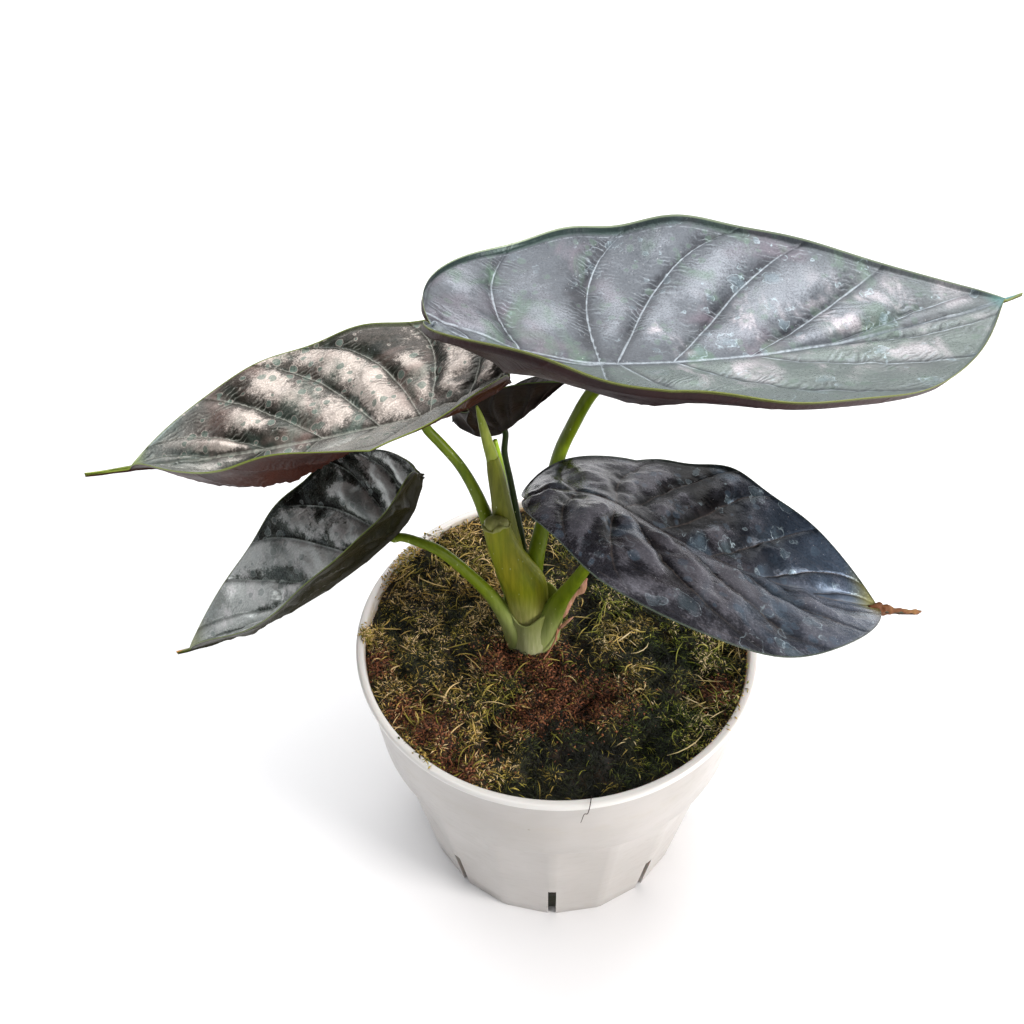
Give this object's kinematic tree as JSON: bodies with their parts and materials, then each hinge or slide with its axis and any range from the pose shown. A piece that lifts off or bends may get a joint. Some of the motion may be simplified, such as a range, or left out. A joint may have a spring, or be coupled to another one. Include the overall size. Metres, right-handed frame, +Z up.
{
  "type": "potted foliage plant",
  "caption": "Alocasia with dark quilted metallic leaves on green stalks, growing from mossy soil in a white plastic nursery pot",
  "frame": {"origin": "centre of the pot's base, on its underside", "axes": "+Z up along the pot's axis; +X along the plant's longest spread, to the viewer's right; -Y toward the viewer"},
  "size_m": [0.3078, 0.1574, 0.2707],
  "materials": {
    "pot": "smooth white moulded plastic with a soft sheen, matt inside",
    "soil": null,
    "crown": null,
    "young_leaf": null,
    "stump": null,
    "bud": null,
    "dried_sheath": null,
    "dark_stalk": null,
    "stalk": null,
    "blade_upper_right": null,
    "blade_upper_left": null,
    "blade_lower_left": null,
    "blade_lower_right": null,
    "blade_back": null
  },
  "bodies": {
    "root": {"pot": "pot", "soil": "soil", "crown": "crown", "new_leaf": "young_leaf", "stump": "stump", "stalk_upper_right": "stalk", "stalk_upper_left": "stalk", "stalk_lower_left": "stalk", "stalk_lower_right": "stalk", "stalk_back": "dark_stalk", "bud_leaf": "bud", "dried_sheath": "dried_sheath", "blade_upper_right": "blade_upper_right", "blade_upper_left": "blade_upper_left", "blade_lower_left": "blade_lower_left", "blade_lower_right": "blade_lower_right", "blade_back": "blade_back"}
  },
  "joints": []
}
